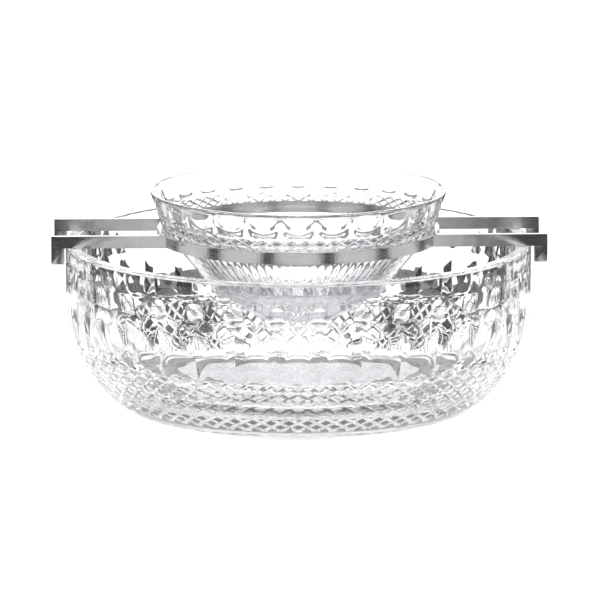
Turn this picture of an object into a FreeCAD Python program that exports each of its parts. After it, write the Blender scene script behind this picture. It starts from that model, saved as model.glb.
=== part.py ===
import FreeCAD, Part
import Sketcher
import math
import os

# Chip and dip server in millimetres: a large cut-crystal bowl, a four-armed metal holder that lies
# across its rim, and a small crystal bowl that drops into the holder's ring.
# The origin is the centre of the large bowl's foot, on the table. +Z is up, and the arms reach
# out along +X and -X.

DRIVING_SIZES = {
    # large bowl
    "bowl_height": 94.2,
    "bowl_rim_radius": 125.0,
    "bowl_foot_radius": 69.0,
    "bowl_shoulder_radius": 97.7,
    "bowl_shoulder_height": 7.8,
    "bowl_straight_height": 64.0,
    "bowl_wall": 6.5,
    "bowl_floor": 9.0,
    "bowl_rim_rounding": 1.2,
    # small bowl: drops are measured down from the top of the ring
    "dip_rim_radius": 80.0,
    "dip_rise": 20.5,
    "dip_cone_radius": 51.0,
    "dip_cone_drop": 27.5,
    "dip_base_radius": 22.0,
    "dip_base_drop": 47.9,
    "dip_base_curve": 67.0,
    "dip_wall": 3.0,
    "dip_rim_wall": 2.0,
    "dip_floor": 4.0,
    "dip_rim_rounding": 0.7,
    "dip_clearance": 0.15,
    # ring of the holder
    "ring_bore_radius": 73.2,
    "ring_wall": 2.6,
    "ring_height": 6.4,
    "ring_rounding": 0.4,
    # arms of the holder
    "arm_reach": 131.8,
    "arm_thickness": 3.0,
    "arm_height": 6.6,
    "arm_offset": 25.0,
    "arm_root": 60.0,
    "hook_length": 7.0,
    "hook_drop": 8.6,
    "hook_rounding": 1.0,
    "seat_gap": 0.1,
    # pins in the ring
    "pin_diameter": 1.3,
    "pin_length": 2.2,
    "pin_angle": 34.7,
    "pin_drop": 1.5,
}

ARM_BOTTOM = "(Sizes.bowl_height + Sizes.seat_gap)"
RING_TOP = "(Sizes.bowl_height + Sizes.seat_gap + Sizes.arm_height)"
RING_OUTSIDE = "(Sizes.ring_bore_radius + Sizes.ring_wall)"
PIN_HEIGHT = RING_TOP + " - Sizes.pin_drop"

doc = FreeCAD.newDocument("ChipAndDipServer")


def make_sheet():
    """Put every driving size in a cell of its own, with its name as the alias."""
    sheet = doc.addObject("Spreadsheet::Sheet", "Sizes")
    for row, (name, number) in enumerate(DRIVING_SIZES.items(), start=1):
        sheet.set("A%d" % row, name)
        sheet.set("B%d" % row, str(number))
        sheet.setAlias("B%d" % row, name)
    doc.recompute()


def new_body(label):
    body = doc.addObject("PartDesign::Body", label)
    body.Label = label
    return body


def origin_feature(body, role):
    """The body's own origin plane or axis with this role, such as XZ_Plane."""
    return next(item for item in body.Origin.OriginFeatures if item.Role == role)


def new_sketch(body, name, plane):
    sketch = body.newObject("Sketcher::SketchObject", name)
    sketch.AttachmentSupport = [(origin_feature(body, plane), "")]
    sketch.MapMode = "FlatFace"
    return sketch


def arc_between(start, end, radius, turn):
    """Arc from start to end; turn is 1 for anticlockwise and -1 for clockwise."""
    chord = end - start
    to_centre = math.sqrt(max(radius ** 2 - chord.Length ** 2 / 4, 0))
    left = FreeCAD.Vector(-chord.y, chord.x, 0).normalize()
    centre = (start + end) * 0.5 + left * (to_centre * turn)
    first, last = (start, end) if turn > 0 else (end, start)
    start_angle = math.atan2(first.y - centre.y, first.x - centre.x)
    end_angle = math.atan2(last.y - centre.y, last.x - centre.x)
    circle = Part.Circle(centre, FreeCAD.Vector(0, 0, 1), radius)
    return Part.ArcOfCircle(circle, start_angle, end_angle)


def draw_outline(sketch, corners):
    """Close a loop through the corners, each (across, up) as expressions, "0" for the axis itself.

    A corner of four items is (across, up, radius, turn): the stretch that leaves it is an arc.
    """
    places = []
    for corner in corners:
        across = float(sketch.evalExpression(corner[0]))
        up = float(sketch.evalExpression(corner[1]))
        places.append(FreeCAD.Vector(across, up, 0))
    ends = []
    for index, corner in enumerate(corners):
        start = places[index]
        end = places[(index + 1) % len(places)]
        if len(corner) == 2:
            sketch.addGeometry(Part.LineSegment(start, end), False)
            ends.append((1, 2))
        else:
            radius = float(sketch.evalExpression(corner[2]))
            sketch.addGeometry(arc_between(start, end, radius, corner[3]), False)
            ends.append((1, 2) if corner[3] > 0 else (2, 1))
    for index, corner in enumerate(corners):
        following = (index + 1) % len(corners)
        join = Sketcher.Constraint("Coincident", index, ends[index][1], following, ends[following][0])
        sketch.addConstraint(join)
        place_point(sketch, index, ends[index][0], "across", corner[0])
        place_point(sketch, index, ends[index][0], "up", corner[1])
        if len(corner) == 4:
            bind(sketch, Sketcher.Constraint("Radius", index, 1.0), "curve_%d" % index, corner[2])


def place_point(sketch, index, vertex, direction, expression):
    """Hold one end of a line or arc at a distance from the sketch's origin, or on its axis."""
    if expression == "0":
        axis = -2 if direction == "across" else -1
        sketch.addConstraint(Sketcher.Constraint("PointOnObject", index, vertex, axis))
        return
    kind = "DistanceX" if direction == "across" else "DistanceY"
    held = Sketcher.Constraint(kind, -1, 1, index, vertex, float(sketch.evalExpression(expression)))
    bind(sketch, held, "%s_%d" % (direction, index), expression)


def bind(sketch, constraint, name, expression):
    """Add a dimension, name it and tie it to the sheet."""
    if constraint.Type == "Radius":
        value = float(sketch.evalExpression(expression))
        constraint = Sketcher.Constraint("Radius", constraint.First, value)
    number = sketch.addConstraint(constraint)
    sketch.renameConstraint(number, name)
    sketch.setExpression("Constraints." + name, expression)


def draw_circle(sketch, name, radius, up="0"):
    """A circle centred on the sketch's upright axis."""
    centre = FreeCAD.Vector(0, float(sketch.evalExpression(up)), 0)
    size = float(sketch.evalExpression(radius))
    circle = Part.Circle(centre, FreeCAD.Vector(0, 0, 1), size)
    index = sketch.addGeometry(circle, False)
    if up == "0":
        sketch.addConstraint(Sketcher.Constraint("Coincident", index, 3, -1, 1))
    else:
        sketch.addConstraint(Sketcher.Constraint("PointOnObject", index, 3, -2))
        held = Sketcher.Constraint("DistanceY", -1, 1, index, 3, centre.y)
        bind(sketch, held, name + "_up", up)
    bind(sketch, Sketcher.Constraint("Radius", index, size), name, radius)


def revolve(body, sketch):
    feature = body.newObject("PartDesign::Revolution", "Turned")
    feature.Profile = sketch
    feature.ReferenceAxis = (sketch, ["V_Axis"])
    feature.Angle = 360
    body.Tip = feature
    doc.recompute()
    return feature


def round_edges(body, name, base, edges, size):
    """Fillet the named edges of the feature that is the body's tip so far."""
    fillet = body.newObject("PartDesign::Fillet", name)
    fillet.Base = (base, edges)
    fillet.setExpression("Radius", size)
    body.Tip = fillet
    doc.recompute()


def circles_at(feature, height):
    """Names of the feature's level circular edges at this height."""
    names = []
    for number, edge in enumerate(feature.Shape.Edges, start=1):
        box = edge.BoundBox
        if box.ZLength < 1e-4 and abs(box.ZMin - height) < 1e-3 and edge.Closed:
            names.append("Edge%d" % number)
    return names


def value(expression):
    return float(doc.getObject("Sizes").evalExpression(expression))


def make_serving_bowl():
    """Thick bowl: flat foot, low cone to a shoulder, then one sweep to an upright rim."""
    body = new_body("serving_bowl")
    sketch = new_sketch(body, "BowlSection", "XZ_Plane")
    shoulder_to_rim = "(Sizes.bowl_rim_radius - Sizes.bowl_shoulder_radius)"
    shoulder_to_straight = "(Sizes.bowl_straight_height - Sizes.bowl_shoulder_height)"
    outer_curve = "(%s^2 + %s^2) / (2 * %s)" % (shoulder_to_rim, shoulder_to_straight, shoulder_to_rim)
    inner_curve = "Sizes.bowl_straight_height - Sizes.bowl_floor"
    inside = "Sizes.bowl_rim_radius - Sizes.bowl_wall"
    draw_outline(sketch, [
        ("0", "0"),
        ("Sizes.bowl_foot_radius", "0"),
        ("Sizes.bowl_shoulder_radius", "Sizes.bowl_shoulder_height", outer_curve, 1),
        ("Sizes.bowl_rim_radius", "Sizes.bowl_straight_height"),
        ("Sizes.bowl_rim_radius", "Sizes.bowl_height"),
        (inside, "Sizes.bowl_height"),
        (inside, "Sizes.bowl_straight_height", inner_curve, -1),
        ("%s - (%s)" % (inside, inner_curve), "Sizes.bowl_floor"),
        ("0", "Sizes.bowl_floor"),
    ])
    turned = revolve(body, sketch)
    rim = circles_at(turned, value("Sizes.bowl_height"))
    round_edges(body, "RoundedRim", turned, rim, "Sizes.bowl_rim_rounding")
    return body


def make_dip_bowl():
    """Thin bowl: flared cut band above the ring, steep cone below it, rounded to a small foot."""
    body = new_body("dip_bowl")
    sketch = new_sketch(body, "DipSection", "XZ_Plane")
    belt = "Sizes.ring_bore_radius - Sizes.dip_clearance"
    rim_height = RING_TOP + " + Sizes.dip_rise"
    cone_height = RING_TOP + " - Sizes.dip_cone_drop"
    base_height = RING_TOP + " - Sizes.dip_base_drop"
    floor_height = base_height + " + Sizes.dip_floor"
    draw_outline(sketch, [
        ("0", base_height),
        ("Sizes.dip_base_radius", base_height, "Sizes.dip_base_curve", 1),
        ("Sizes.dip_cone_radius", cone_height),
        (belt, RING_TOP),
        ("Sizes.dip_rim_radius", rim_height),
        ("Sizes.dip_rim_radius - Sizes.dip_rim_wall", rim_height),
        (belt + " - Sizes.dip_wall", RING_TOP),
        ("Sizes.dip_cone_radius - Sizes.dip_wall", cone_height, "Sizes.dip_base_curve", -1),
        ("Sizes.dip_base_radius - Sizes.dip_wall", floor_height),
        ("0", floor_height),
    ])
    turned = revolve(body, sketch)
    rim = circles_at(turned, value(rim_height))
    round_edges(body, "RoundedRim", turned, rim, "Sizes.dip_rim_rounding")
    return body


def make_support_ring():
    """Flat band with its edges eased and four small holes drilled through its wall for the pins."""
    body = new_body("support_ring")
    sketch = new_sketch(body, "RingSection", "XY_Plane")
    sketch.setExpression("AttachmentOffset.Base.z", RING_TOP + " - Sizes.ring_height")
    draw_circle(sketch, "outside", RING_OUTSIDE)
    draw_circle(sketch, "bore", "Sizes.ring_bore_radius")
    band = body.newObject("PartDesign::Pad", "Band")
    band.Profile = sketch
    band.setExpression("Length", "Sizes.ring_height")
    body.Tip = band
    doc.recompute()
    edges = circles_at(band, value(RING_TOP))
    edges += circles_at(band, value(RING_TOP + " - Sizes.ring_height"))
    round_edges(body, "EasedEdges", band, edges, "Sizes.ring_rounding")

    drilled = new_sketch(body, "PinHole", "YZ_Plane")
    turned_a_little = FreeCAD.Rotation(FreeCAD.Vector(0, 1, 0), 1)
    drilled.AttachmentOffset = FreeCAD.Placement(FreeCAD.Vector(), turned_a_little)
    drilled.setExpression("AttachmentOffset.Rotation.Angle", "Sizes.pin_angle")
    draw_circle(drilled, "hole", "Sizes.pin_diameter / 2", PIN_HEIGHT)
    hole = body.newObject("PartDesign::Pocket", "PinHoles")
    hole.Profile = drilled
    hole.SideType = "Symmetric"
    hole.setExpression("Length", "3 * Sizes.ring_bore_radius")
    body.Tip = hole
    doc.recompute()
    other_pair = body.newObject("PartDesign::Mirrored", "OtherPinHoles")
    other_pair.Originals = [hole]
    other_pair.MirrorPlane = (origin_feature(body, "XZ_Plane"), [""])
    body.Tip = other_pair
    doc.recompute()
    return body


def make_arm(label, side, end):
    """One flat bar on edge. side is 1 for the rear and -1 for the front, end is 1 for +X."""
    body = new_body(label)
    sketch = new_sketch(body, "ArmSide", "XZ_Plane")
    # An arm at the -X end is the arm diagonally opposite, turned half round.
    sign = "-1" if side * end > 0 else "1"
    sketch.setExpression("AttachmentOffset.Base.z", sign + " * Sizes.arm_offset")
    hook_inside = "Sizes.arm_reach - Sizes.hook_length"
    hook_bottom = ARM_BOTTOM + " - Sizes.hook_drop"
    draw_outline(sketch, [
        ("Sizes.arm_root", ARM_BOTTOM),
        (hook_inside, ARM_BOTTOM),
        (hook_inside, hook_bottom),
        ("Sizes.arm_reach", hook_bottom),
        ("Sizes.arm_reach", RING_TOP),
        ("Sizes.arm_root", RING_TOP),
    ])
    bar = body.newObject("PartDesign::Pad", "Bar")
    bar.Profile = sketch
    bar.SideType = "Symmetric"
    bar.setExpression("Length", "Sizes.arm_thickness")
    body.Tip = bar
    doc.recompute()
    lowest = bar.Shape.BoundBox.ZMin
    corners = []
    for number, edge in enumerate(bar.Shape.Edges, start=1):
        box = edge.BoundBox
        if box.ZMax - lowest < 1e-4 and box.YLength > 1e-3 and box.XLength < 1e-4:
            corners.append("Edge%d" % number)
    round_edges(body, "RoundedHook", bar, corners, "Sizes.hook_rounding")

    against_ring = new_sketch(body, "RingFace", "XY_Plane")
    draw_circle(against_ring, "ring", RING_OUTSIDE)
    notch = body.newObject("PartDesign::Pocket", "RingNotch")
    notch.Profile = against_ring
    notch.Reversed = True
    notch.setExpression("Length", "2 * Sizes.bowl_height")
    body.Tip = notch
    doc.recompute()
    if end < 0:
        half_turn = FreeCAD.Rotation(FreeCAD.Vector(0, 0, 1), 180)
        body.Placement = FreeCAD.Placement(FreeCAD.Vector(), half_turn)
    return body


def make_pin(label, side, end):
    """Short pin that lies along a radius inside the ring's wall."""
    pin = doc.addObject("Part::Cylinder", label)
    pin.Label = label
    pin.setExpression("Radius", "Sizes.pin_diameter / 2")
    pin.setExpression("Height", "Sizes.pin_length")
    angle = value("Sizes.pin_angle") * side
    if end < 0:
        angle = 180 - angle
    outward = FreeCAD.Vector(math.cos(math.radians(angle)), math.sin(math.radians(angle)), 0)
    recess = (value("Sizes.ring_wall") - value("Sizes.pin_length")) / 2
    foot = outward * (value("Sizes.ring_bore_radius") + recess)
    foot.z = value(PIN_HEIGHT)
    pin.Placement = FreeCAD.Placement(foot, FreeCAD.Rotation(FreeCAD.Vector(0, 0, 1), outward))
    return pin


def export(pieces):
    """Check every object and piece, then write one STEP file for each piece."""
    doc.recompute()
    for item in doc.Objects:
        if "Invalid" in item.State or "Error" in item.State:
            raise RuntimeError("%s did not compute: %s" % (item.Label, item.State))
    for piece in pieces:
        if piece.Shape.isNull() or not piece.Shape.isValid():
            raise RuntimeError("%s has no valid shape" % piece.Label)
        if len(piece.Shape.Solids) != 1:
            raise RuntimeError("%s is not one solid" % piece.Label)
    os.makedirs("parts", exist_ok=True)
    for piece in pieces:
        piece.Shape.exportStep("parts/%s.step" % piece.Label)
        box = piece.Shape.optimalBoundingBox()
        low = "%.1f %.1f %.1f" % (box.XMin, box.YMin, box.ZMin)
        high = "%.1f %.1f %.1f" % (box.XMax, box.YMax, box.ZMax)
        print("%-22s %9.1f mm3, from %s to %s" % (piece.Label, piece.Shape.Volume, low, high))


make_sheet()
server = [make_serving_bowl(), make_dip_bowl(), make_support_ring()]
for side_name, side in (("front", -1), ("rear", 1)):
    for end_name, end in (("left", -1), ("right", 1)):
        server.append(make_arm("%s_%s_arm" % (side_name, end_name), side, end))
        server.append(make_pin("ring_pin_%s_%s" % (side_name, end_name), side, end))
export(server)
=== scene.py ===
"""Cut-crystal chip and dip server: the glass, the metal holder and the studio round the fixed frame."""

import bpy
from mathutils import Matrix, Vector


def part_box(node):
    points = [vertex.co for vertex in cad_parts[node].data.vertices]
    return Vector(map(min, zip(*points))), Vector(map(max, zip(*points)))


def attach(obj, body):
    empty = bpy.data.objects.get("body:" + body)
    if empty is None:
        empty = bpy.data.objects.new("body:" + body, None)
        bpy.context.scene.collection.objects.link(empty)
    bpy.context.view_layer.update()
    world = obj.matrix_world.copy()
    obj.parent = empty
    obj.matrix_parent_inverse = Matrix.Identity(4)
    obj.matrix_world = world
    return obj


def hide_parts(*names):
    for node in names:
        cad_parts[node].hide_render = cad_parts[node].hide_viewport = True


bl_info = {
    "name": "Chip and Dip Server",
    "version": (1, 0, 0),
    "blender": (4, 5, 0),
    "location": "View3D > Sidebar > Server",
    "description": "Builds a cut-crystal serving bowl, its dip bowl and the metal holder",
    "category": "Add Mesh",
}

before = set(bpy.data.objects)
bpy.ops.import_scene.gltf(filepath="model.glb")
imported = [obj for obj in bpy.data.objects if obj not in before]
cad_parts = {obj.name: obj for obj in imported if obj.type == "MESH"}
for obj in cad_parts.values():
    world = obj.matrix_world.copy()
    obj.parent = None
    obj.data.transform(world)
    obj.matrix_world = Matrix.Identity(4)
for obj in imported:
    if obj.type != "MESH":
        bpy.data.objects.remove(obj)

import math

import bmesh
import bpy
from bpy.props import FloatProperty, IntProperty, PointerProperty, StringProperty
from mathutils import Euler, Vector

MM = 0.001
FRONT = math.radians(-91.7)    # direction that one window and one flute of the dip bowl face
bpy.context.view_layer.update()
BOWL_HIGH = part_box("serving_bowl")[1]
DIP_LOW, DIP_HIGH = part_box("dip_bowl")
RING_LOW, RING_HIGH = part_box("support_ring")


# ---------------------------------------------------------------- sizes and colours

def length(name, description, millimetres):
    """A length property whose default is given in millimetres."""
    return FloatProperty(name=name, description=description, default=millimetres * MM, unit="LENGTH",
                         precision=5)


class ServingBowlSizes(bpy.types.PropertyGroup):
    """Serving bowl: its turned outline and the bands of cutting, measured down the wall from the rim."""
    rim_radius: length("Rim radius", "Outside of the rim", BOWL_HIGH[1] / MM)
    height: length("Height", "Foot to rim", BOWL_HIGH[2] / MM)
    straight_height: length("Upright from", "Height above which the wall is upright", 64.0)
    shoulder_radius: length("Shoulder radius", "Where the wall meets the underside", 97.7)
    shoulder_height: length("Shoulder height", "Height of the shoulder", 7.8)
    foot_radius: length("Foot radius", "Flat that the bowl stands on", 69.0)
    wall: length("Wall", "Thickness at the rim", 6.5)
    floor: length("Floor", "Thickness at the middle", 9.0)
    rim_band: length("Rim band", "Plain band under the rim", 1.5)
    flute_end: length("Flute end", "Where the short flutes end", 12.0)
    pearl_end: length("Pearl end", "Where the band of pearls ends", 22.5)
    window_end: length("Window end", "Where the tall windows end", 53.4)
    lattice_start: length("Lattice start", "Where the diamonds start", 55.0)
    lattice_end: length("Lattice end", "Where the diamonds end", 87.2)
    windows: IntProperty(name="Windows", description="Tall windows round the bowl", default=36, min=8)
    flute_depth: length("Flute depth", "Depth of the short flutes", 0.15)
    pearl_width: length("Pearl width", "Width of one oval pearl", 9.2)
    pearl_height: length("Pearl height", "Height of one oval pearl", 10.2)
    pearl_depth: length("Pearl depth", "Depth of one oval pearl", 0.9)
    window_depth: length("Window depth", "Hollow in the middle of a window", 0.5)
    column_width: length("Column width", "Width of the column between windows", 5.0)
    column_slope: length("Column slope", "Fall of the column's sides from its ridge", 0.8)
    lattice_depth: length("Lattice depth", "Depth of the grooves between diamonds", 1.15)
    half_rows: IntProperty(name="Half rows", description="Half diamonds up the wall", default=9)
    diamond_top: FloatProperty(name="Diamond top", description="Share of a diamond's width that is flat",
                               default=0.62, subtype="FACTOR")
    star_depth: length("Star depth", "Deepest part of the star ground into the base", 1.3)
    rim_rounding: length("Rim rounding", "Rounding of the rim's edges", 1.1)


class DipBowlSizes(bpy.types.PropertyGroup):
    """Dip bowl: its turned outline and the bands of cutting, measured down the wall from the rim."""
    rim_radius: length("Rim radius", "Outside of the rim", DIP_HIGH[0] / MM)
    belt_radius: length("Belt radius", "Outside where the bowl sits in the ring", 73.05)
    cone_radius: length("Cone radius", "Outside where the cone turns into the base", 51.0)
    cone_height: length("Cone height", "Height at which the cone turns into the base", 73.4)
    base_radius: length("Base radius", "Small flat at the bottom", 22.0)
    base_curve: length("Base curve", "Radius of the rounding above the base", 67.0)
    rim_wall: length("Rim wall", "Thickness at the rim", 2.0)
    wall: length("Wall", "Thickness at the belt", 3.0)
    floor: length("Floor", "Thickness at the bottom", 4.0)
    flutes: IntProperty(name="Flutes", description="Flutes round the bowl", default=26, min=8)
    flute_start: length("Flute start", "Where the flutes start", 1.2)
    flute_end: length("Flute end", "Where the flutes end", 14.4)
    flute_depth: length("Flute depth", "Deepest part of a flute", 0.42)
    lattice_start: length("Lattice start", "Where the diamonds start", 15.3)
    lattice_end: length("Lattice end", "Where the diamonds end", 21.2)
    diamonds: IntProperty(name="Diamonds", description="Diamonds round the bowl", default=62, min=8)
    lattice_depth: length("Lattice depth", "Depth of the grooves between diamonds", 0.28)
    diamond_top: FloatProperty(name="Diamond top", description="Share of a diamond's width that is flat",
                               default=0.66, subtype="FACTOR")
    ray_depth: length("Ray depth", "Full depth of the rays round the base", 0.9)
    rim_rounding: length("Rim rounding", "Rounding of the rim's edges", 0.6)


class HolderSizes(bpy.types.PropertyGroup):
    """Metal holder: the ring, its four arms and its pins."""
    ring_bore: length("Ring bore", "Inside radius of the ring", 73.2)
    ring_edge: length("Ring edge", "Rounding of the ring's edges", 0.4)
    hook_length: length("Hook length", "Length of the hooked end along the arm", 7.0)
    arm_edge: length("Arm edge", "Rounding of the arm's long edges", 0.22)
    hook_corner: length("Hook corner", "Rounding of the hook's lower corners", 1.0)
    pin_angle: FloatProperty(name="Pin angle", description="From the arms' direction to a pin",
                             default=math.radians(34.7), subtype="ANGLE")
    pin_diameter: length("Pin diameter", "Across one pin", 1.3)
    pin_length: length("Pin length", "Along one pin", 2.2)
    pin_stand: length("Pin stand", "How far the pin's head stands proud of the ring", 0.08)
    pin_drop: length("Pin drop", "From the ring's top down to a pin", 1.5)


class FinishColours(bpy.types.PropertyGroup):
    """Colours, as sRGB hex values."""
    crystal: StringProperty(name="Crystal", description="Colourless lead crystal", default="#FBFBFC")
    silver: StringProperty(name="Silver", description="Buffed plate", default="#B6B4B4")
    silver_shade: StringProperty(name="Silver shade", description="Plate where it has dulled",
                                 default="#A2A0A0")
    pin: StringProperty(name="Pin", description="Dull steel of the pins", default="#4A4848")
    floor: StringProperty(name="Floor", description="White table", default="#FBFBFB")


class StudioSizes(bpy.types.PropertyGroup):
    """Camera, light and table."""
    camera_distance: length("Camera distance", "From the rim's centre to the camera", 2050.0)
    camera_elevation: FloatProperty(name="Elevation", description="Camera above the rim's plane",
                                    default=math.radians(10.9), subtype="ANGLE")
    camera_azimuth: FloatProperty(name="Azimuth", description="Camera round from the front",
                                  default=math.radians(-1.7), subtype="ANGLE")
    look_down: FloatProperty(name="Look down", description="Aim below the rim's centre",
                             default=math.radians(0.927), subtype="ANGLE")
    look_right: FloatProperty(name="Look right", description="Aim to the right of the rim's centre",
                              default=math.radians(0.0255), subtype="ANGLE")
    lens: FloatProperty(name="Lens", description="Focal length in millimetres", default=228.8)
    floor_size: length("Floor size", "Side of the table", 14000.0)
    card_half_angle: FloatProperty(name="Card half angle", description="Half the angle a black card spans",
                                   default=math.radians(5.5), subtype="ANGLE")
    card_start: length("Card start", "From the bowl's axis to a black floor card", 240.0)
    card_end: length("Card end", "From the bowl's axis to a floor card's far end", 1600.0)
    tall_card: length("Tall card", "Distance of a tall black card, and its height", 1300.0)
    short_half_angle: FloatProperty(name="Short half angle", description="Half a charcoal card's angle",
                                    default=math.radians(8.0), subtype="ANGLE")
    short_start: length("Short card start", "From the bowl's axis to a charcoal card", 140.0)
    short_end: length("Short card end", "Where the charcoal cards end and the slate mat starts", 320.0)
    # The pale and grey mats are painted shade under the bowl, seen only through the glass: the pale one the
    # dimmer light under the foot, the grey one the contact shadow round it.
    painted_shade_mat: length("Painted shade mat", "Radius of the pale mat under the bowl", 70.0)
    painted_shadow_mat: length("Painted shadow mat", "Outer radius of the grey mat round it", 112.0)
    slate_mat: length("Slate mat", "Outer radius of the slate mat", 420.0)


# ---------------------------------------------------------------- materials

def srgb(hex_colour):
    """Linear RGBA from an sRGB hex value."""
    channels = [int(hex_colour[i:i + 2], 16) / 255 for i in (1, 3, 5)]
    linear = [c / 12.92 if c <= 0.04045 else ((c + 0.055) / 1.055) ** 2.4 for c in channels]
    return (*linear, 1.0)


def add_node(tree, kind, links=None, **settings):
    """Add a node. A setting is a property, or an input by name or number; links go input: socket."""
    node = tree.nodes.new(kind)
    for key, setting in settings.items():
        if hasattr(node, key) and key not in node.inputs:
            setattr(node, key, setting)
        else:
            node.inputs[key.replace("_", " ")].default_value = setting
    for key, socket in (links or {}).items():
        tree.links.new(socket, node.inputs[key])
    return node


def new_material(name):
    """A material with an empty node tree, and that tree."""
    material = bpy.data.materials.new(name)
    material.use_nodes = True
    material.node_tree.nodes.clear()
    return material, material.node_tree


def lead_crystal():
    """Lead crystal: blown, wheel-cut and acid-polished.

    It is colourless and refracts more than window glass. Polishing leaves the faces very slightly
    wavy, which bends straight reflections, and leaves a faint haze in patches.
    """
    material, tree = new_material("Cut lead crystal")
    colours = bpy.context.scene.finish_colours
    place = add_node(tree, "ShaderNodeTexCoord").outputs["Object"]
    # Waves of about 14 mm, a few microns high, as a polishing wheel leaves.
    waves = add_node(tree, "ShaderNodeTexNoise", {"Vector": place}, Scale=1 / (14.286 * MM), Detail=2.0)
    bump = add_node(tree, "ShaderNodeBump", {"Height": waves.outputs["Fac"]}, Strength=0.25,
                    Distance=0.03 * MM)
    # Haze in patches of about 5 mm: the acid bath never leaves one gloss all over.
    haze = add_node(tree, "ShaderNodeTexNoise", {"Vector": place}, Scale=1 / (5 * MM), Detail=3.0)
    gloss = add_node(tree, "ShaderNodeMapRange", {"Value": haze.outputs["Fac"]},
                     From_Min=0.45, From_Max=0.8, To_Min=0.0, To_Max=0.03)
    shader = add_node(tree, "ShaderNodeBsdfPrincipled",
                      {"Roughness": gloss.outputs["Result"], "Normal": bump.outputs["Normal"]},
                      Base_Color=srgb(colours.crystal), Transmission_Weight=1.0, IOR=1.545)
    add_node(tree, "ShaderNodeOutputMaterial", {"Surface": shader.outputs["BSDF"]})
    return material


def silver_plate():
    """Silver plate on brass: electroplated and buffed to a soft shine.

    Buffing runs along each piece and leaves hair-fine lines, and the plate dulls a little in patches.
    """
    material, tree = new_material("Buffed silver plate")
    colours = bpy.context.scene.finish_colours
    place = add_node(tree, "ShaderNodeTexCoord").outputs["Object"]
    # Dulled patches are about 22 mm across.
    patches = add_node(tree, "ShaderNodeTexNoise", {"Vector": place}, Scale=1 / (22.222 * MM), Detail=4.0)
    tone = add_node(tree, "ShaderNodeMix", {"Factor": patches.outputs["Fac"]}, data_type="RGBA")
    tone.inputs[6].default_value = srgb(colours.silver)
    tone.inputs[7].default_value = srgb(colours.silver_shade)
    # Real buffing lines are a few microns apart; these are 0.4 mm apart and 25 mm long, so that they show.
    stretched = add_node(tree, "ShaderNodeMapping", {"Vector": place})
    stretched.inputs["Scale"].default_value = (1 / (25 * MM), 1 / (25 * MM), 1 / (0.4 * MM))
    lines = add_node(tree, "ShaderNodeTexNoise", {"Vector": stretched.outputs["Vector"]},
                     Scale=1.0, Detail=3.0)
    gloss = add_node(tree, "ShaderNodeMapRange", {"Value": lines.outputs["Fac"]},
                     From_Min=0.3, From_Max=0.8, To_Min=0.14, To_Max=0.24)
    bump = add_node(tree, "ShaderNodeBump", {"Height": lines.outputs["Fac"]}, Strength=0.12,
                    Distance=0.01 * MM)
    shader = add_node(tree, "ShaderNodeBsdfPrincipled",
                      {"Base Color": tone.outputs[2], "Roughness": gloss.outputs["Result"],
                       "Normal": bump.outputs["Normal"]}, Metallic=1.0)
    add_node(tree, "ShaderNodeOutputMaterial", {"Surface": shader.outputs["BSDF"]})
    return material


def pin_steel():
    """Drawn steel wire, cut and left dull: it reads as a small dark dot in the bright ring."""
    material, tree = new_material("Dull drawn steel")
    colours = bpy.context.scene.finish_colours
    place = add_node(tree, "ShaderNodeTexCoord").outputs["Object"]
    # The die's drag marks are drawn as a grain of 0.25 mm.
    grain = add_node(tree, "ShaderNodeTexNoise", {"Vector": place}, Scale=1 / (0.25 * MM), Detail=2.0)
    gloss = add_node(tree, "ShaderNodeMapRange", {"Value": grain.outputs["Fac"]}, To_Min=0.35, To_Max=0.6)
    shader = add_node(tree, "ShaderNodeBsdfPrincipled", {"Roughness": gloss.outputs["Result"]},
                      Base_Color=srgb(colours.pin), Metallic=1.0)
    add_node(tree, "ShaderNodeOutputMaterial", {"Surface": shader.outputs["BSDF"]})
    return material


def table_white():
    """White laminate: matt, with a very faint mottle."""
    material, tree = new_material("White laminate table")
    colours = bpy.context.scene.finish_colours
    place = add_node(tree, "ShaderNodeTexCoord").outputs["Object"]
    # Mottle of about 125 mm, as a wiped table has.
    mottle = add_node(tree, "ShaderNodeTexNoise", {"Vector": place}, Scale=1 / (125 * MM), Detail=3.0)
    gloss = add_node(tree, "ShaderNodeMapRange", {"Value": mottle.outputs["Fac"]}, To_Min=0.7, To_Max=0.8)
    shader = add_node(tree, "ShaderNodeBsdfPrincipled", {"Roughness": gloss.outputs["Result"]},
                      Base_Color=srgb(colours.floor), Specular_IOR_Level=0.1)
    add_node(tree, "ShaderNodeOutputMaterial", {"Surface": shader.outputs["BSDF"]})
    return material


def card_felt(name, colour):
    """Felt-covered card, matt all over, that the glass and metal see in place of the white table. In the
    pale and grey mats it is painted shade and painted shadow under the bowl.
    """
    material, tree = new_material(name)
    shader = add_node(tree, "ShaderNodeBsdfPrincipled", Base_Color=srgb(colour), Roughness=1.0,
                      Specular_IOR_Level=0.0)
    add_node(tree, "ShaderNodeOutputMaterial", {"Surface": shader.outputs["BSDF"]})
    return material


def white_screen():
    """Lit white cloth, which gives the tops of the arms their brightness."""
    material, tree = new_material("Lit white screen")
    glow = add_node(tree, "ShaderNodeEmission", Color=srgb("#FFFFFF"), Strength=2.6)
    add_node(tree, "ShaderNodeOutputMaterial", {"Surface": glow.outputs["Emission"]})
    return material


# ---------------------------------------------------------------- turned outlines

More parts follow.
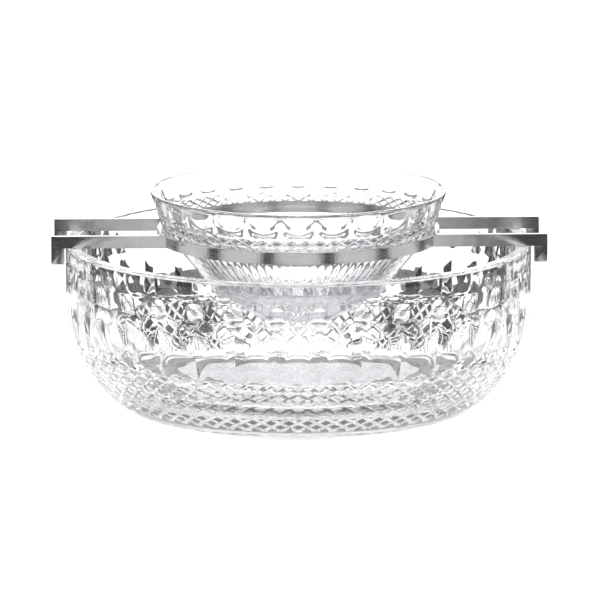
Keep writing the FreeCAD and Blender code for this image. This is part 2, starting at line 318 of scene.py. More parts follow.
class Outline:
    """A turned outline as stretches of lines and arcs, each found by the distance run along it."""

    def __init__(self, start):
        self.end = Vector(start)
        self.stretches = []
        self.length = 0.0

    def line(self, end):
        """Run straight to (radius, height)."""
        start, end = self.end, Vector(end)
        size = (end - start).length
        along = (end - start) / size
        out = Vector((-along.y, along.x))
        self._add(size, lambda run: (start + along * run, out), end)
        return self

    def arc(self, centre, radius, start_angle, end_angle):
        """Run round an arc; on a clockwise arc the glass lies inside, on the other it lies outside."""
        centre = Vector(centre)
        turn = 1.0 if end_angle > start_angle else -1.0
        size = abs(end_angle - start_angle) * radius

        def place(run):
            angle = start_angle + turn * run / radius
            ray = Vector((math.cos(angle), math.sin(angle)))
            return centre + ray * radius, ray * -turn

        self._add(size, place, place(size)[0])
        return self

    def _add(self, size, place, end):
        """Keep a stretch; place gives its point and outward direction at a distance along it."""
        self.stretches.append((self.length, place))
        self.length += size
        self.end = end

    def at(self, run, depth=0.0):
        """(radius, height) at this run, sunk by depth below the surface."""
        for start, place in reversed(self.stretches):
            if run >= start - 1e-9 or start == 0.0:
                point, out = place(run - start)
                return point - out * depth
        raise ValueError("run is before the outline")


def serving_outline(sizes):
    """Outer wall of the serving bowl from the rim down to the foot and in to the middle."""
    across = sizes.rim_radius - sizes.shoulder_radius
    up = sizes.straight_height - sizes.shoulder_height
    radius = (across ** 2 + up ** 2) / (2 * across)
    shoulder_angle = -math.asin(up / radius)
    outline = Outline((sizes.rim_radius, sizes.height))
    outline.line((sizes.rim_radius, sizes.straight_height))
    outline.arc((sizes.rim_radius - radius, sizes.straight_height), radius, 0.0, shoulder_angle)
    outline.line((sizes.foot_radius, 0.0))
    return outline.line((0.0, 0.0))


def serving_inside(sizes):
    """Inner wall of the serving bowl from the middle of its floor up to the rim."""
    inside = sizes.rim_radius - sizes.wall
    radius = sizes.straight_height - sizes.floor
    outline = Outline((0.0, sizes.floor))
    outline.line((inside - radius, sizes.floor))
    outline.arc((inside - radius, sizes.straight_height), radius, -math.pi / 2, 0.0)
    return outline.line((inside, sizes.height))


def chord_arc(outline, end, radius, turn):
    """Carry the outline round an arc of this radius to end; turn is 1 for anticlockwise."""
    start, end = outline.end, Vector(end)
    chord = end - start
    left = Vector((-chord.y, chord.x)).normalized()
    centre = (start + end) / 2 + left * turn * math.sqrt(radius ** 2 - chord.length_squared / 4)
    from_centre, to_centre = start - centre, end - centre
    start_angle = math.atan2(from_centre.y, from_centre.x)
    end_angle = math.atan2(to_centre.y, to_centre.x)
    return outline.arc(centre, radius, start_angle, end_angle)


def dip_outline(sizes):
    """Outer wall of the dip bowl from the rim down to its small base and in to the middle."""
    outline = Outline((sizes.rim_radius, DIP_HIGH[2]))
    outline.line((sizes.belt_radius, RING_HIGH[2]))
    outline.line((sizes.cone_radius, sizes.cone_height))
    chord_arc(outline, (sizes.base_radius, DIP_LOW[2]), sizes.base_curve, -1)
    return outline.line((0.0, DIP_LOW[2]))


def dip_inside(sizes):
    """Inner wall of the dip bowl from the middle of its floor up to the rim."""
    floor = DIP_LOW[2] + sizes.floor
    outline = Outline((0.0, floor))
    outline.line((sizes.base_radius - sizes.wall, floor))
    chord_arc(outline, (sizes.cone_radius - sizes.wall, sizes.cone_height), sizes.base_curve, 1)
    outline.line((sizes.belt_radius - sizes.wall, RING_HIGH[2]))
    return outline.line((sizes.rim_radius - sizes.rim_wall, DIP_HIGH[2]))


# ---------------------------------------------------------------- cutting the glass

CELL = 8     # columns across one window, pearl or flute, so that every band's points meet
RINGS = 6    # rings of points from its middle out to its rectangle
GLASS_EDGE = math.radians(15)    # faces that meet at more than this are shaded as a cut edge
SAME_POINT = 2e-6                # points of the glass nearer than this are one


def on_wall(outline, angle, run, depth=0.0):
    """The point of the wall in this direction, this far down the outline and this deep in the glass."""
    radius, height = outline.at(run, depth)
    return Vector((radius * math.cos(angle), radius * math.sin(angle), height))


def steps_between(start, end, count):
    """count + 1 even steps from start to end."""
    return [start + (end - start) * i / count for i in range(count + 1)]


def turned_band(bm, outline, runs, columns, depth=None):
    """Turn a strip of points at these runs into a band of columns, and sink its points by depth.

    depth is a function of row and column. Returns the band's points as {(row, column): vertex}.
    """
    row_layer = bm.verts.layers.int.get("row") or bm.verts.layers.int.new("row")
    before = set(bm.verts)
    strip = [bm.verts.new(on_wall(outline, FRONT, run)) for run in runs]
    for row, vert in enumerate(strip):
        vert[row_layer] = row
    edges = [bm.edges.new(pair) for pair in zip(strip, strip[1:])]
    bmesh.ops.spin(bm, geom=strip + edges, cent=(0, 0, 0), axis=(0, 0, 1), angle=math.tau,
                   steps=columns, use_merge=True)
    band = {}
    step = math.tau / columns
    centre_count = 0
    for vert in bm.verts:
        if vert in before:
            continue
        row = vert[row_layer]
        on_axis = math.hypot(vert.co.x, vert.co.y) < 1e-7
        if on_axis:
            column = centre_count
            centre_count += 1
        else:
            column = round((math.atan2(vert.co.y, vert.co.x) - FRONT) / step) % columns
        band[row, column] = vert
        if depth:
            vert.co = on_wall(outline, FRONT + column * step, runs[row], depth(row, column))
    return band


def polar_patch(bm):
    """A flat round patch of rings with whole numbers as radii, ready to be pulled to shape."""
    strip = [bm.verts.new((ring, 0, 0)) for ring in range(1, RINGS + 1)]
    edges = [bm.edges.new(pair) for pair in zip(strip, strip[1:])]
    bmesh.ops.spin(bm, geom=strip + edges, cent=(0, 0, 0), axis=(0, 0, 1), angle=math.tau,
                   steps=4 * CELL, use_merge=True)


def cut_sector(outline, shape, count, phase, middle=None):
    """A band of the wall made of one cut sector, repeated round the bowl.

    The sector's outer ring is a rectangle with CELL steps on each side. shape(ring, step) gives
    (angle, run, depth), the angle from the sector's middle. middle gives the same for a middle
    point, or is None where the innermost ring closes on itself as a crease.
    """
    bm = bmesh.new()
    around = 4 * CELL
    polar_patch(bm)
    if middle:
        inner = [e for e in bm.edges if all(v.co.length < 1.5 for v in e.verts)]
        filled = bmesh.ops.contextual_create(bm, geom=inner)["faces"]
        centre = bmesh.ops.poke(bm, faces=filled)["verts"][0]
    for vert in bm.verts:
        if middle and vert == centre:
            angle, run, depth = middle
        else:
            ring = round(vert.co.length)
            step = round(math.atan2(vert.co.y, vert.co.x) / math.tau * around) % around
            angle, run, depth = shape(ring, step)
        vert.co = on_wall(outline, FRONT + phase + angle, run, depth)
    bmesh.ops.remove_doubles(bm, verts=bm.verts, dist=0.5e-6)
    geom = bm.verts[:] + bm.edges[:] + bm.faces[:]
    bmesh.ops.spin(bm, geom=geom, cent=(0, 0, 0), axis=(0, 0, 1), angle=math.tau * (count - 1) / count,
                   steps=count - 1, use_duplicate=True)
    bmesh.ops.remove_doubles(bm, verts=bm.verts, dist=SAME_POINT)
    return bm


def on_rectangle(step):
    """(across, up) from -1 to 1 for a step round a rectangle, from the middle of its right side."""
    from_corner = (step + CELL // 2) % (4 * CELL)
    edge, along = divmod(from_corner, CELL)
    slide = 2 * along / CELL - 1
    return ((1, slide), (-slide, 1), (-1, -slide), (slide, -1))[edge]


def merge_in(bm, other):
    """Add the other mesh to bm and free it."""
    carrier = bpy.data.meshes.new("carrier")
    other.to_mesh(carrier)
    other.free()
    bm.from_mesh(carrier)
    bpy.data.meshes.remove(carrier)


def in_groove(row, column):
    """Whether this point lies on a groove; diamonds are four columns wide and four rows high."""
    return (column + row) % 4 == 2 or (column - row) % 4 == 2


def cut_diamonds(bm, band, rows, columns, diamond_top):
    """Split the quads of these rows along the grooves, and widen the flat tops between them.

    A diamond's top is bounded by the points halfway from its middle to its grooves, which move
    outwards or inwards until the top takes this share of the diamond.
    """
    cells = {(r, c): v for (r, c), v in band.items() if r in rows}
    grooved = [vert for (r, c), vert in cells.items() if in_groove(r - rows[0], c)]
    corners = [vert for (r, c), vert in cells.items() if (r - rows[0] + c) % 2]
    moves = []
    for (r, c), vert in cells.items():
        if (r - rows[0] + c) % 2 == 0 or r in (rows[0], rows[-1]):
            continue
        for near in ((r - 1, c), (r + 1, c), (r, (c - 1) % columns), (r, (c + 1) % columns)):
            up, across = near[0] - rows[0], near[1]
            if near in cells and (across + up) % 4 == 0 and (across - up) % 4 == 0:
                centre = cells[near].co.copy()
                moves.append((vert, centre + (vert.co - centre) * 2 * diamond_top))
    for vert, place in moves:
        vert.co = place
    bmesh.ops.connect_verts(bm, verts=grooved)
    bmesh.ops.connect_verts(bm, verts=corners)


def open_loop(bm, height, radius):
    """The open edges at this height and radius."""
    found = []
    for edge in bm.edges:
        if edge.is_boundary:
            middle = (edge.verts[0].co + edge.verts[1].co) / 2
            reach = math.hypot(middle.x, middle.y)
            if abs(middle.z - height) < 0.3 * MM and abs(reach - radius) < 0.5 * MM:
                found.append(edge)
    return found


def join_loops(bm, one, other):
    """Bridge two open loops, each given as (radius, height)."""
    edges = open_loop(bm, one[1], one[0]) + open_loop(bm, other[1], other[0])
    bmesh.ops.bridge_loops(bm, edges=edges)


def round_rim(bm, height, offset):
    """Round the two edges of the flat rim at this height."""
    edges = []
    for edge in bm.edges:
        level = all(abs(v.co.z - height) < 0.01 * MM for v in edge.verts)
        if level and len({round(math.hypot(v.co.x, v.co.y), 5) for v in edge.verts}) == 1:
            edges.append(edge)
    bmesh.ops.bevel(bm, geom=edges, offset=offset, segments=3, profile=0.5, affect="EDGES", material=-1)


def finish_glass(bm, name):
    """Close and shade a bowl, and put it in the scene; its CAD node and its body share its name."""
    bmesh.ops.remove_doubles(bm, verts=bm.verts, dist=SAME_POINT)
    bmesh.ops.dissolve_degenerate(bm, edges=bm.edges, dist=1e-6)
    bmesh.ops.recalc_face_normals(bm, faces=bm.faces)
    for face in bm.faces:
        face.smooth = True
    for edge in bm.edges:
        edge.smooth = edge.calc_face_angle(0.0) < GLASS_EDGE
    loose = [e for e in bm.edges if not e.is_manifold]
    if loose:
        raise RuntimeError("%s has %d open edges" % (name, len(loose)))
    piece = new_piece(bm, name, "Cut lead crystal", lead_crystal)
    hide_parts(name)
    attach(piece, name)
    piece.visible_shadow = False    # clear glass lets the light on to the table


def new_piece(bm, name, material_name, make_material):
    """Turn the bmesh into an object with its material, made once and shared."""
    mesh = bpy.data.meshes.new(name)
    bm.to_mesh(mesh)
    bm.free()
    prefix = "cut_" if make_material is lead_crystal else "plain_"
    piece = bpy.data.objects.new(prefix + name, mesh)
    bpy.context.scene.collection.objects.link(piece)
    mesh.materials.append(bpy.data.materials.get(material_name) or make_material())
    return piece


# ---------------------------------------------------------------- serving bowl

def leaf_outline(part):
    """(half width, height) from 0 to 1 for part from the leaf's round bottom to its pointed tip.

    The first quarter is the round bottom, the next fifth is the straight side and the rest the tip.
    """
    bottom, waist = 0.16, 0.38    # heights where the side and the tip begin
    if part < 0.25:
        turn = part / 0.25 * math.pi / 2
        return math.sin(turn), bottom * (1 - math.cos(turn))
    if part < 0.45:
        return 1.0, bottom + (waist - bottom) * (part - 0.25) / 0.2
    rise = (part - 0.45) / 0.55
    return 1 - rise ** 1.08, waist + (1 - waist) * rise


def window_shape(sizes):
    """Shape of one window: a clear leaf ground a little hollow, between the steep sides of columns."""
    sector = math.tau / sizes.windows
    half_leaf = sector / 2 - sizes.column_width / 2 / sizes.rim_radius
    top, bottom = sizes.pearl_end, sizes.window_end
    tip_gap, foot_gap = 1.2 * MM, 1.0 * MM    # plain glass above and below the leaf
    tip, foot = top + tip_gap, bottom - foot_gap

    def shape(ring, step):
        across, up = on_rectangle(step)
        if ring == RINGS:
            return across * sector / 2, (top + bottom) / 2 - up * (bottom - top) / 2, 0.0
        climb = (step + CELL) % (4 * CELL)
        side = 1 if climb <= 2 * CELL else -1
        part = (climb if side > 0 else 4 * CELL - climb) / (2 * CELL)
        half, rise = leaf_outline(part)
        share = (ring - 1) / (RINGS - 2)
        # The columns' sides fall least by the leaf's two ends, and never to nothing.
        edge = sizes.column_slope * math.sin(math.pi * min(max(part, 0.14), 0.86)) ** 0.5
        depth = edge + sizes.window_depth * half ** 2 * (1 - share ** 4)
        return side * share * half * half_leaf, foot - rise * (foot - tip), depth

    return shape


def pearl_shape(sizes):
    """Shape of one pearl: an oval hollow ground into the wall, in a plain rectangle."""
    sector = math.tau / sizes.windows
    top, bottom = sizes.flute_end, sizes.pearl_end
    middle = (top + bottom) / 2

    def shape(ring, step):
        across, up = on_rectangle(step)
        if ring == RINGS:
            return across * sector / 2, middle - up * (bottom - top) / 2, 0.0
        turn = step / (4 * CELL) * math.tau
        share = ring / (RINGS - 1)
        across = math.cos(turn) * share * sizes.pearl_width / 2 / sizes.rim_radius
        run = middle - math.sin(turn) * share * sizes.pearl_height / 2
        return across, run, sizes.pearl_depth * (1 - share ** 2)

    return shape, (0.0, middle, sizes.pearl_depth)


class SERVER_OT_serving_bowl(bpy.types.Operator):
    """Build the large bowl: flutes, pearls, tall windows, a lattice of diamonds and a star base"""
    bl_idname = "server.serving_bowl"
    bl_label = "Serving Bowl"

    def execute(self, context):
        sizes = context.scene.serving_bowl_sizes
        outline = serving_outline(sizes)
        columns = CELL * sizes.windows
        bm = bmesh.new()
        self.cut_flutes(bm, outline, sizes, columns)
        pearl, pearl_middle = pearl_shape(sizes)
        half_sector = math.pi / sizes.windows
        merge_in(bm, cut_sector(outline, pearl, sizes.windows, half_sector, pearl_middle))
        merge_in(bm, cut_sector(outline, window_shape(sizes), sizes.windows, 0.0))
        self.cut_lattice_and_star(bm, outline, sizes, columns)
        inside = serving_inside(sizes)
        # A first ring well out from the middle, then even ones to just under the rim.
        runs = [0.0] + steps_between(inside.length * 0.12, inside.length - 6 * MM, 26) + [inside.length]
        turned_band(bm, inside, runs, columns)
        inner_rim = sizes.rim_radius - sizes.wall
        join_loops(bm, (sizes.rim_radius, sizes.height), (inner_rim, sizes.height))
        round_rim(bm, sizes.height, sizes.rim_rounding)
        finish_glass(bm, "serving_bowl")
        return {"FINISHED"}

    def cut_flutes(self, bm, outline, sizes, columns):
        """Short hollow flutes under the rim, two to each window, four columns to a flute."""
        across = (1.0, 0.72, 0.0, 0.72)              # share of the depth at each column of a flute
        down = (0.0, 0.0, 0.9, 1.0, 0.9, 0.5, 0.0)   # share of the depth at each row
        start, end = sizes.rim_band, sizes.flute_end
        runs = [0.0, start, start + 0.5 * MM, (start + end) / 2, end - 2.4 * MM, end - 0.8 * MM, end]
        turned_band(bm, outline, runs, columns,
                    lambda row, column: sizes.flute_depth * down[row] * across[column % 4])

    def cut_lattice_and_star(self, bm, outline, sizes, columns):
        """Mitre ring, lattice of diamonds, plain foot, and the star ground into the base."""
        lattice = steps_between(sizes.lattice_start, sizes.lattice_end, 2 * sizes.half_rows)
        mitre = (sizes.window_end + sizes.lattice_start) / 2 - 0.2 * MM
        mitre_depth = 0.5 * MM
        shoulder = outline.stretches[2][0]
        foot = outline.stretches[3][0]
        star = [foot + share * sizes.foot_radius for share in (0.06, 0.1, 0.3, 0.6, 0.85, 1.0)]
        star_share = (0.0, 1.0, 11 / 13, 7 / 13, 3 / 13, 0.0)    # of the star's depth, from the foot in
        ray_share = (0.0, 0.25, 0.5, 0.75, 1.0, 0.75, 0.5, 0.25)    # across one ray
        runs = [sizes.window_end, mitre, sizes.lattice_start - 0.6 * MM]
        first = len(runs)    # the lattice's first row
        last = first + 2 * sizes.half_rows
        runs += lattice
        runs += [sizes.lattice_end + 1.2 * MM, shoulder - 3 * MM, shoulder, shoulder + 5 * MM]
        runs += [foot - 4 * MM, foot]
        star_row = len(runs)
        runs += star

        def depth(row, column):
            if row == 1:
                return mitre_depth
            if first <= row <= last:
                return sizes.lattice_depth if in_groove(row - first, column) else 0.0
            if row >= star_row:
                return sizes.star_depth * star_share[row - star_row] * ray_share[column % CELL]
            return 0.0

        band = turned_band(bm, outline, runs, columns, depth)
        cut_diamonds(bm, band, range(first, last + 1), columns, sizes.diamond_top)


# ---------------------------------------------------------------- dip bowl

def flute_shape(sizes):
    """Shape of one flute: hollow across, shallow at the rim, deepest above its round bottom."""
    sector = math.tau / sizes.flutes
    top, bottom = sizes.flute_start, sizes.flute_end
    middle = (top + bottom) / 2
    deepest = bottom - 3.4 * MM
    foot_gap, top_gap = 0.25 * MM, 0.1 * MM    # plain glass below and above the flute
    half_flute = sector * 0.47                 # leaves a narrow ridge between flutes
    least = 0.16                               # share of the depth at the flute's top

    def shape(ring, step):
        across, up = on_rectangle(step)
        if ring == RINGS:
            return across * sector / 2, middle - up * (bottom - top) / 2, 0.0
        share = ring / (RINGS - 1)
        half, rise = u_outline(across, up)
        run = bottom - foot_gap - rise * (bottom - top - foot_gap - top_gap)
        run = deepest + (run - deepest) * share
        taper = least + (1 - least) * min((run - top) / (deepest - top), 1.0)
        return half * share * half_flute, run, sizes.flute_depth * taper * (1 - share ** 4)

    return shape, (0.0, deepest, sizes.flute_depth)


def u_outline(across, up):
    """(half width from -1 to 1, height from 0 to 1) of a U with a square top and a round bottom."""
    bend = 0.42    # height where the sides start
    if up <= -1 + 1e-6:
        turn = across * math.pi / 2
        return math.sin(turn) * 0.98, bend * (1 - math.cos(turn))
    return across, bend + (1 - bend) * (up + 1) / 2


class SERVER_OT_dip_bowl(bpy.types.Operator):
    """Build the small bowl: tapered flutes, a narrow lattice, a plain cone and a rayed base"""
    bl_idname = "server.dip_bowl"
    bl_label = "Dip Bowl"

    def execute(self, context):
        sizes = context.scene.dip_bowl_sizes
        outline = dip_outline(sizes)
        bm = bmesh.new()
        fluted = CELL * sizes.flutes
        flute, flute_middle = flute_shape(sizes)
        turned_band(bm, outline, [0.0, sizes.flute_start], fluted)
        merge_in(bm, cut_sector(outline, flute, sizes.flutes, 0.0, flute_middle))
        lower_start = sizes.flute_end + 0.45 * MM
        self.cut_lattice_and_rays(bm, outline, sizes, lower_start)
        join_loops(bm, outline.at(sizes.flute_end), outline.at(lower_start))
        inside = dip_inside(sizes)
        runs = [0.0] + steps_between(inside.length * 0.1, inside.length - 3 * MM, 24) + [inside.length]
        turned_band(bm, inside, runs, fluted)
        join_loops(bm, (sizes.rim_radius, DIP_HIGH[2]), (sizes.rim_radius - sizes.rim_wall, DIP_HIGH[2]))
        round_rim(bm, DIP_HIGH[2], sizes.rim_rounding)
        finish_glass(bm, "dip_bowl")
        return {"FINISHED"}

    def cut_lattice_and_rays(self, bm, outline, sizes, lower_start):
        """Narrow lattice above the ring, the plain cone, and shallow rays round the base."""
        columns = 4 * sizes.diamonds
        lattice = steps_between(sizes.lattice_start, sizes.lattice_end, 6)
        cone, curve, base = (stretch[0] for stretch in outline.stretches[1:4])
        runs = [lower_start] + lattice + [cone, cone + 12 * MM, curve - 8 * MM]
        ray_row = len(runs)
        runs += steps_between(curve, base - 4 * MM, 3) + [base, (base + outline.length) / 2, outline.length]
        down = (0.0, 0.6, 0.8, 0.9, 0.9, 0.5, 0.0)    # share of the rays' depth at each row
        across = (0.0, 0.5, 1.0, 0.5)                 # and at each column of a ray

        def depth(row, column):
            if 1 <= row <= 7:
                return sizes.lattice_depth if in_groove(row - 1, column) else 0.0
            if row >= ray_row:
                return sizes.ray_depth * down[row - ray_row] * across[column % 4]
            return 0.0

        band = turned_band(bm, outline, runs, columns, depth)
        cut_diamonds(bm, band, range(1, 8), columns, sizes.diamond_top)


# ---------------------------------------------------------------- metal holder

METAL_EDGE = math.radians(32)    # faces that meet at more than this are shaded as an edge
FLAT_FACE = 1.2 * MM             # a face with no side shorter than this is flat, not part of a rounding


def finish_metal(bm, name, material_name, make_material):
    """Shade a metal piece, put it in the scene on the holder and let it stand for its CAD node."""
    bmesh.ops.recalc_face_normals(bm, faces=bm.faces)
    for face in bm.faces:
        face.smooth = min(edge.calc_length() for edge in face.edges) < FLAT_FACE
    for edge in bm.edges:
        edge.smooth = edge.calc_face_angle(0.0) < METAL_EDGE
    piece = new_piece(bm, name, material_name, make_material)
    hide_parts(name)
    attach(piece, "holder")


class SERVER_OT_support_ring(bpy.types.Operator):
    """Build the polished ring that holds the dip bowl"""
    bl_idname = "server.support_ring"
    bl_label = "Support Ring"

    def execute(self, context):
        sizes = context.scene.holder_sizes
        bm = bmesh.new()
        section = [(sizes.ring_bore, RING_LOW[2]), (RING_HIGH[0], RING_LOW[2]),
                   (RING_HIGH[0], RING_HIGH[2]), (sizes.ring_bore, RING_HIGH[2])]
        corners = [bm.verts.new((radius, 0, height)) for radius, height in section]
        edges = [bm.edges.new((corners[i], corners[(i + 1) % 4])) for i in range(4)]
        bmesh.ops.spin(bm, geom=corners + edges, cent=(0, 0, 0), axis=(0, 0, 1), angle=math.tau,
                       steps=256, use_merge=True)
        rings = [e for e in bm.edges if e.calc_face_angle(0.0) > math.radians(60)]
        bmesh.ops.bevel(bm, geom=rings, offset=sizes.ring_edge, segments=4, profile=0.5, affect="EDGES",
                        material=-1)
        finish_metal(bm, "support_ring", "Buffed silver plate", silver_plate)
        return {"FINISHED"}


class SERVER_OT_arms(bpy.types.Operator):
    """Build the four flat arms with their hooked ends"""
    bl_idname = "server.arms"
    bl_label = "Arms"

    def execute(self, context):
        for name in ("front_left_arm", "front_right_arm", "rear_left_arm", "rear_right_arm"):
            self.build_arm(name, context.scene.holder_sizes)
        return {"FINISHED"}

    def build_arm(self, name, sizes):
        """A bar with a hook drawn down from its outer end, its edges eased and its corners rounded."""
        low, high = (Vector(corner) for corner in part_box(name))
        outward = 1 if high.x > 0 else -1
        tip = high.x if outward > 0 else low.x
        inner = (low.x if outward > 0 else high.x) - outward * 0.4 * MM
        hook = tip - outward * sizes.hook_length
        under = BOWL_HIGH[2] + 0.1 * MM
        bm = bmesh.new()
        bmesh.ops.create_cube(bm, size=1.0)
        bmesh.ops.scale(bm, vec=(abs(tip - inner), high.y - low.y, high.z - under), verts=bm.verts)
        bmesh.ops.translate(bm, vec=((tip + inner) / 2, (low.y + high.y) / 2, (high.z + under) / 2),
                            verts=bm.verts)
        bmesh.ops.bisect_plane(bm, geom=bm.verts[:] + bm.edges[:] + bm.faces[:], plane_co=(hook, 0, 0),
                               plane_no=(1, 0, 0))
        below = [f for f in bm.faces if f.normal.z < -0.9]
        foot = [f for f in below if (f.calc_center_median().x - hook) * outward > 0]
        drawn = bmesh.ops.extrude_discrete_faces(bm, faces=foot)["faces"]
        down = [v for f in drawn for v in f.verts]
        bmesh.ops.translate(bm, vec=(0, 0, low.z - under), verts=down)
        lowest = [e for e in bm.edges if all(v.co.z < low.z + 1e-6 for v in e.verts)]
        lower = [e for e in lowest if abs(e.verts[0].co.x - e.verts[1].co.x) < 1e-6]
        bmesh.ops.bevel(bm, geom=lower, offset=sizes.hook_corner, segments=5, profile=0.5, affect="EDGES",
                        material=-1)
        sharp = [e for e in bm.edges if e.calc_face_angle(0.0) > math.radians(40)]
        bmesh.ops.bevel(bm, geom=sharp, offset=sizes.arm_edge, segments=3, profile=0.5, affect="EDGES",
                        material=-1)
        finish_metal(bm, name, "Buffed silver plate", silver_plate)


class SERVER_OT_ring_pins(bpy.types.Operator):
    """Build the four small pins in the ring"""
    bl_idname = "server.ring_pins"
    bl_label = "Ring Pins"

    def execute(self, context):
        sizes = context.scene.holder_sizes
        for side_name, side in (("front", -1), ("rear", 1)):
            for end_name, end in (("left", -1), ("right", 1)):
                self.build_pin("ring_pin_%s_%s" % (side_name, end_name), side, end, sizes)
        return {"FINISHED"}

    def build_pin(self, name, side, end, sizes):
        """A short turned pin with a rounded head that stands just proud of the ring."""
        angle = sizes.pin_angle * side if end > 0 else math.pi - sizes.pin_angle * side
        radius = sizes.pin_diameter / 2
        bm = bmesh.new()
        bmesh.ops.create_cone(bm, cap_ends=True, segments=24, radius1=radius, radius2=radius,
                              depth=sizes.pin_length)
        head = [e for e in bm.edges if all(v.co.z > 0 for v in e.verts)]
        bmesh.ops.bevel(bm, geom=head, offset=0.18 * MM, segments=3, profile=0.5, affect="EDGES",
                        material=-1)
        turn = Euler((0, math.pi / 2, angle)).to_matrix()
        bmesh.ops.rotate(bm, cent=(0, 0, 0), matrix=turn, verts=bm.verts)
        reach = RING_HIGH[0] + sizes.pin_stand - sizes.pin_length / 2
        place = Vector((math.cos(angle) * reach, math.sin(angle) * reach, RING_HIGH[2] - sizes.pin_drop))
        bmesh.ops.translate(bm, vec=place, verts=bm.verts)
        finish_metal(bm, name, "Dull drawn steel", pin_steel)


# ---------------------------------------------------------------- studio

MAT_LIFT = 0.4 * MM     # mats and short cards lie this far above the table
CARD_LIFT = 0.6 * MM    # and the long black cards above those


def stage_piece(bm, name, material, seen_by):
    """Put a card or the table on the stage; seen_by names the rays that see it."""
    mesh = bpy.data.meshes.new(name)
    bm.to_mesh(mesh)
    bm.free()
    mesh.materials.append(material)
    card = bpy.data.objects.new(name, mesh)
    bpy.context.scene.collection.objects.link(card)
    for ray in ("camera", "diffuse", "glossy", "transmission", "shadow"):
        setattr(card, "visible_" + ray, ray in seen_by)
    return card


def turned_sheet(start, end, angle, steps):
    """A sheet made by turning the line from start to end round the middle of the table."""
    bm = bmesh.new()
    corners = [bm.verts.new((start[0], 0, start[1])), bm.verts.new((end[0], 0, end[1]))]
    edge = bm.edges.new(corners)
    bmesh.ops.spin(bm, geom=corners + [edge], cent=(0, 0, 0), axis=(0, 0, 1), angle=angle, steps=steps,
                   use_merge=angle > math.tau - 0.01)
    return bm


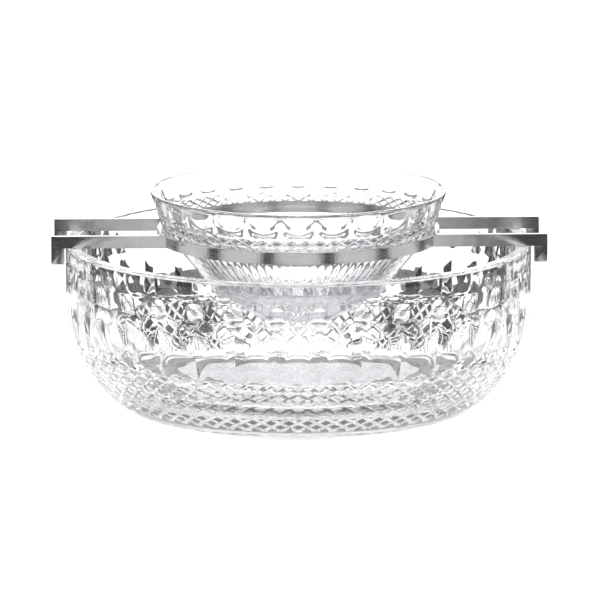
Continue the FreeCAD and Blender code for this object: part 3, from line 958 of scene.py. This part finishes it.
class SERVER_OT_stage(bpy.types.Operator):
    """Set the camera, the white table, the soft lights and the cards that the glass and metal see"""
    bl_idname = "server.stage"
    bl_label = "Stage"

    def execute(self, context):
        scene = context.scene
        studio = scene.studio_sizes
        self.place_camera(scene, studio)
        bm = bmesh.new()
        bmesh.ops.create_grid(bm, x_segments=2, y_segments=2, size=studio.floor_size / 2)
        stage_piece(bm, "table", table_white(), ("camera", "diffuse", "glossy", "transmission", "shadow"))
        self.light_world(scene)
        self.light_table()
        self.lay_cards(studio)
        scene.view_settings.view_transform = "Standard"
        scene.cycles.max_bounces = 40
        scene.cycles.transmission_bounces = 40
        scene.cycles.glossy_bounces = 24
        return {"FINISHED"}

    def place_camera(self, scene, studio):
        """Stand the camera off from the middle of the serving bowl's rim."""
        target = Vector((0, 0, BOWL_HIGH[2]))
        level = studio.camera_distance * math.cos(studio.camera_elevation)
        rise = studio.camera_distance * math.sin(studio.camera_elevation)
        round_by = studio.camera_azimuth
        data = bpy.data.cameras.new("camera")
        data.lens = studio.lens
        data.sensor_width = 36
        data.clip_end = 100
        camera = bpy.data.objects.new("camera", data)
        camera.location = target + Vector((level * math.sin(round_by), -level * math.cos(round_by), rise))
        pitch = math.pi / 2 - studio.camera_elevation - studio.look_down
        camera.rotation_euler = (pitch, 0, round_by - studio.look_right)
        scene.collection.objects.link(camera)
        scene.camera = camera

    def light_world(self, scene):
        """White low down all round and overhead, with a dark belt that draws the cut edges."""
        world = bpy.data.worlds.new("studio")
        world.use_nodes = True
        tree = world.node_tree
        tree.nodes.clear()
        ray = add_node(tree, "ShaderNodeTexCoord").outputs["Generated"]
        parts = add_node(tree, "ShaderNodeSeparateXYZ", {"Vector": ray})
        belt = add_node(tree, "ShaderNodeValToRGB", {"Fac": parts.outputs["Z"]})
        stops = belt.color_ramp.elements
        stops[0].position, stops[0].color = 0.0, (1, 1, 1, 1)
        stops[1].position, stops[1].color = 1.0, (2.2, 2.2, 2.2, 1)
        for position, grey in ((0.5, 1.0), (0.62, 0.10), (0.8, 0.10), (0.9, 2.2)):
            stop = stops.new(position)
            stop.color = (grey, grey, grey, 1)
        back = add_node(tree, "ShaderNodeBackground", {"Color": belt.outputs["Color"]}, Strength=1.0)
        add_node(tree, "ShaderNodeOutputWorld", {"Surface": back.outputs["Background"]})
        scene.world = world

    def light_table(self):
        """One broad light from above that keeps the table white; the glass and metal don't see it."""
        data = bpy.data.lights.new("overhead", "SUN")
        data.energy = 1.8
        data.angle = 0.9
        light = bpy.data.objects.new("overhead", data)
        light.visible_glossy = False
        light.visible_transmission = False
        bpy.context.scene.collection.objects.link(light)

    def lay_cards(self, studio):
        """Black and charcoal cards to the sides of every straight view, and mats on the table: painted
        shade under the foot, a painted contact shadow round it, and a slate mat further out.
        """
        black = card_felt("Black card", "#0E0E0F")
        charcoal = card_felt("Charcoal card", "#2C2C2E")
        mirrored = ("glossy", "transmission")
        tall = studio.tall_card
        middles = [math.radians(22.5 + 45 * number) + studio.camera_azimuth for number in range(8)]
        for number, middle in enumerate(middles):
            span = (middle, studio.card_half_angle)
            floor_line = ((studio.card_start, CARD_LIFT), (studio.card_end, CARD_LIFT))
            self.lay_card("floor_card_%d" % number, floor_line, span, black, mirrored)
            self.lay_card("tall_card_%d" % number, ((tall, 0.0), (tall, tall)), span, black, mirrored)
        short_line = ((studio.short_start, MAT_LIFT), (studio.short_end, MAT_LIFT))
        for number, middle in enumerate(middles):
            span = (middle, studio.short_half_angle)
            self.lay_card("short_card_%d" % number, short_line, span, charcoal, ("transmission",))
        # Painted shade: the pale mat darkens the table under the foot and the grey mat paints the contact
        # shadow round it, which the shadowless glass doesn't cast; only the glass sees them.
        mats = (("mat", "Painted shade mat", "#E4E4E6", 0.0, studio.painted_shade_mat),
                ("painted_shadow_ring", "Painted shadow mat", "#6E6E70", studio.painted_shade_mat, studio.painted_shadow_mat),
                ("far_mat", "Slate mat", "#656567", studio.short_end, studio.slate_mat))
        for name, felt, colour, inner, outer in mats:
            stage_piece(turned_sheet((inner, MAT_LIFT), (outer, MAT_LIFT), math.tau, 64), name,
                        card_felt(felt, colour), ("transmission",))
        self.surround_metal(black)

    def lay_card(self, name, line, span, material, seen_by):
        """Turn a card from a line; span is its middle direction and its half angle."""
        middle, half = span
        card = turned_sheet(line[0], line[1], 2 * half, 8)
        bmesh.ops.rotate(card, cent=(0, 0, 0), matrix=Euler((0, 0, middle - half)).to_matrix(),
                         verts=card.verts)
        stage_piece(card, name, material, seen_by)

    def surround_metal(self, black):
        """What only the metal mirrors: a dark ring and ceiling, and a lit screen for the arms' tops."""
        ring_start, ring_end, ring_lift = 0.35, 1.5, 0.001
        ceiling_radius, ceiling_height = 0.9, 1.8
        screen_radius, screen_foot, screen_top = 3.2, 0.15, 1.5
        ring = turned_sheet((ring_start, ring_lift), (ring_end, ring_lift), math.tau, 96)
        stage_piece(ring, "dark_ring", black, ("glossy",))
        ceiling = turned_sheet((0.0, ceiling_height), (ceiling_radius, ceiling_height), math.tau, 64)
        stage_piece(ceiling, "ceiling_card", black, ("glossy",))
        screen = turned_sheet((screen_radius, screen_foot), (screen_radius, screen_top), math.tau, 64)
        stage_piece(screen, "white_band", white_screen(), ("glossy",))


class SERVER_PT_panel(bpy.types.Panel):
    """Lists the pieces of the server"""
    bl_label = "Chip and Dip Server"
    bl_idname = "SERVER_PT_panel"
    bl_space_type = "VIEW_3D"
    bl_region_type = "UI"
    bl_category = "Server"

    def draw(self, context):
        for operator in OPERATORS:
            self.layout.operator(operator.bl_idname)


GROUPS = {
    "serving_bowl_sizes": ServingBowlSizes,
    "dip_bowl_sizes": DipBowlSizes,
    "holder_sizes": HolderSizes,
    "finish_colours": FinishColours,
    "studio_sizes": StudioSizes,
}
OPERATORS = (SERVER_OT_serving_bowl, SERVER_OT_dip_bowl, SERVER_OT_support_ring, SERVER_OT_arms,
             SERVER_OT_ring_pins, SERVER_OT_stage)


def register():
    for name, group in GROUPS.items():
        bpy.utils.register_class(group)
        setattr(bpy.types.Scene, name, PointerProperty(type=group))
    for operator in OPERATORS:
        bpy.utils.register_class(operator)
    bpy.utils.register_class(SERVER_PT_panel)


def unregister():
    bpy.utils.unregister_class(SERVER_PT_panel)
    for operator in reversed(OPERATORS):
        bpy.utils.unregister_class(operator)
    for name, group in reversed(GROUPS.items()):
        delattr(bpy.types.Scene, name)
        bpy.utils.unregister_class(group)


def main():
    register()
    bpy.ops.server.serving_bowl()
    bpy.ops.server.dip_bowl()
    bpy.ops.server.support_ring()
    bpy.ops.server.arms()
    bpy.ops.server.ring_pins()
    bpy.ops.server.stage()


if __name__ == "__main__":
    main()
